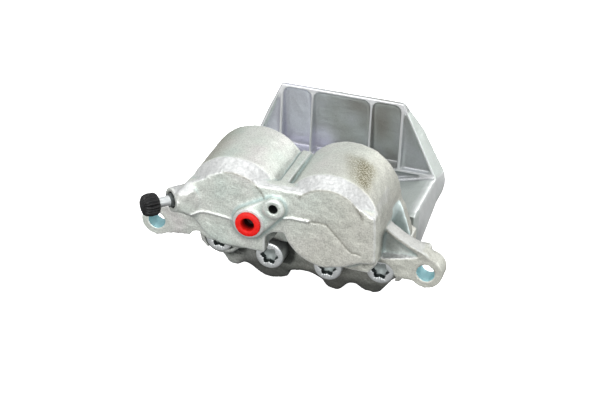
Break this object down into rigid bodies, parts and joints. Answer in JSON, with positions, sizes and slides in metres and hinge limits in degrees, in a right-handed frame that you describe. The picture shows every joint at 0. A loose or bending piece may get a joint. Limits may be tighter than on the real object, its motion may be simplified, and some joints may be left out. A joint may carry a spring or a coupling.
{
  "type": "two-piston floating brake caliper",
  "caption": "Floating brake caliper with a twin-cylinder housing, guide ears, bleed screw, hose port and a bolted bridge carrying a ribbed outer leg.",
  "frame": {"origin": "midway between the two ear holes, on the ears' outer faces", "axes": "+X from the left ear to the right ear, +Y along the pistons towards the outer leg, +Z away from the bridge, towards the middle of the disc"},
  "size_m": [0.19, 0.1545, 0.1067],
  "materials": {
    "plated_casting": "zinc-plated rough casting, satin",
    "bridge_casting": "zinc-plated casting with machined rib edges",
    "plated_steel": "bright zinc plate",
    "bright_steel": "ground",
    "black_rubber": "matte moulded rubber",
    "red_plastic": "moulded, slight sheen"
  },
  "bodies": {
    "housing": {"cylinder_housing": "plated_casting", "bridge_frame": "bridge_casting", "bridge_bolt_1": "plated_steel", "bridge_bolt_2": "plated_steel", "bridge_bolt_3": "plated_steel", "bridge_bolt_4": "plated_steel", "dowel_sleeve_left": "bright_steel", "dowel_sleeve_right": "bright_steel", "piston_seal_left": "black_rubber", "piston_seal_right": "black_rubber", "dust_boot_left": "black_rubber", "dust_boot_right": "black_rubber", "boot_ring_left": "plated_steel", "boot_ring_right": "plated_steel"},
    "piston_left": {"piston_left": "bright_steel"},
    "piston_right": {"piston_right": "bright_steel"},
    "bleeder": {"bleed_screw": "plated_steel"},
    "cap": {"bleed_cap": "black_rubber"},
    "port_plug": {"hose_port_plug": "red_plastic"}
  },
  "joints": [
    {"name": "piston_left_slide", "type": "slide", "parent": "housing", "child": "piston_left", "axis": [0, 1, 0], "range_m": [0, 0.02], "deforming": ["dust_boot_left"]},
    {"name": "piston_right_slide", "type": "slide", "parent": "housing", "child": "piston_right", "axis": [0, 1, 0], "range_m": [0, 0.02], "deforming": ["dust_boot_right"]},
    {"name": "bleed_turn", "type": "hinge", "parent": "housing", "child": "bleeder", "pos_m": [-0.0671, -0.0211, 0.028], "axis": [-0.66, -0.7513, 0], "range_deg": [0, 180]},
    {"name": "bleed_cap_pull", "type": "slide", "parent": "bleeder", "child": "cap", "axis": [-0.66, -0.7513, 0], "range_m": [0, 0.02]},
    {"name": "port_plug_pull", "type": "slide", "parent": "housing", "child": "port_plug", "axis": [0, -1, 0], "range_m": [0, 0.02]}
  ]
}
